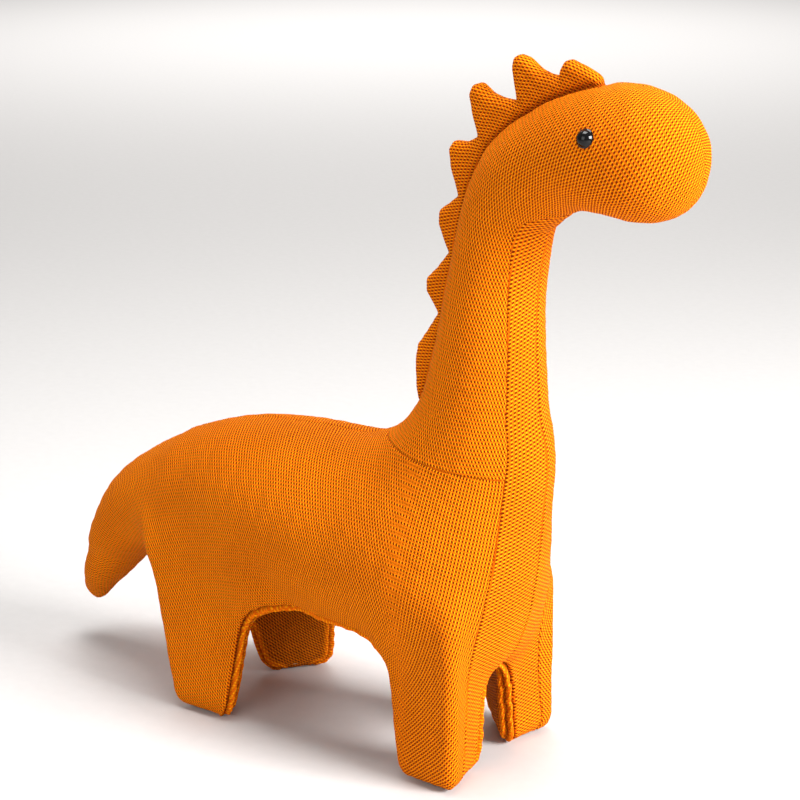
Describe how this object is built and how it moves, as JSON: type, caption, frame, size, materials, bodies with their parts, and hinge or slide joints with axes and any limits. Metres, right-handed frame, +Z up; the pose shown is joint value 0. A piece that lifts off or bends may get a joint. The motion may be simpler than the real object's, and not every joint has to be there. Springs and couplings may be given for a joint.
{
  "type": "stuffed dinosaur",
  "caption": "Padded long-necked dinosaur in a knitted cover over a wooden frame, with a level back to sit on, short splayed legs, a drooping tail and a spiked crest.",
  "frame": {"origin": "on the floor, at the middle of the length and width of the animal", "axes": "+X towards the snout, +Y to the animal's left, +Z up"},
  "size_m": [0.8678, 0.2312, 0.7994],
  "materials": {
    "knit_cover": "chunky orange knit",
    "knit_sole": "orange knit, worn",
    "eye_plastic": "glossy black",
    "washer_plastic": "matt white",
    "pine": "sawn, unfinished",
    "plywood": "plywood, unfinished",
    "felt": "pressed felt",
    "screw_steel": "zinc plated",
    "foam": "open-cell foam",
    "fibre_fill": "polyester fibre"
  },
  "bodies": {
    "root": {"back_foam": "foam", "belly_foam": "foam", "chest_foam": "foam", "crest_fill": "fibre_fill", "frame_screws": "screw_steel", "front_cross_rail": "pine", "front_left_foot_pad": "felt", "front_left_leg_foam": "foam", "front_left_leg_post": "pine", "front_left_sole": "knit_sole", "front_neck_brace": "plywood", "front_right_foot_pad": "felt", "front_right_leg_foam": "foam", "front_right_leg_post": "pine", "front_right_sole": "knit_sole", "head_board": "plywood", "head_fill": "fibre_fill", "hind_cross_rail": "pine", "hind_left_foot_pad": "felt", "hind_left_leg_foam": "foam", "hind_left_leg_post": "pine", "hind_left_sole": "knit_sole", "hind_right_foot_pad": "felt", "hind_right_leg_foam": "foam", "hind_right_leg_post": "pine", "hind_right_sole": "knit_sole", "left_chest_gusset": "knit_cover", "left_crest_panel": "knit_cover", "left_eye": "eye_plastic", "left_eye_washer": "washer_plastic", "left_flank_foam": "foam", "left_neck_foam": "foam", "left_neck_panel": "knit_cover", "left_side_panel": "knit_cover", "left_side_rail": "pine", "neck_post": "pine", "rear_neck_brace": "plywood", "right_chest_gusset": "knit_cover", "right_crest_panel": "knit_cover", "right_eye": "eye_plastic", "right_eye_washer": "washer_plastic", "right_flank_foam": "foam", "right_neck_foam": "foam", "right_neck_panel": "knit_cover", "right_side_panel": "knit_cover", "right_side_rail": "pine", "rump_foam": "foam", "seat_board": "pine", "tail_fill": "fibre_fill", "underside_panel": "knit_cover"}
  },
  "joints": []
}
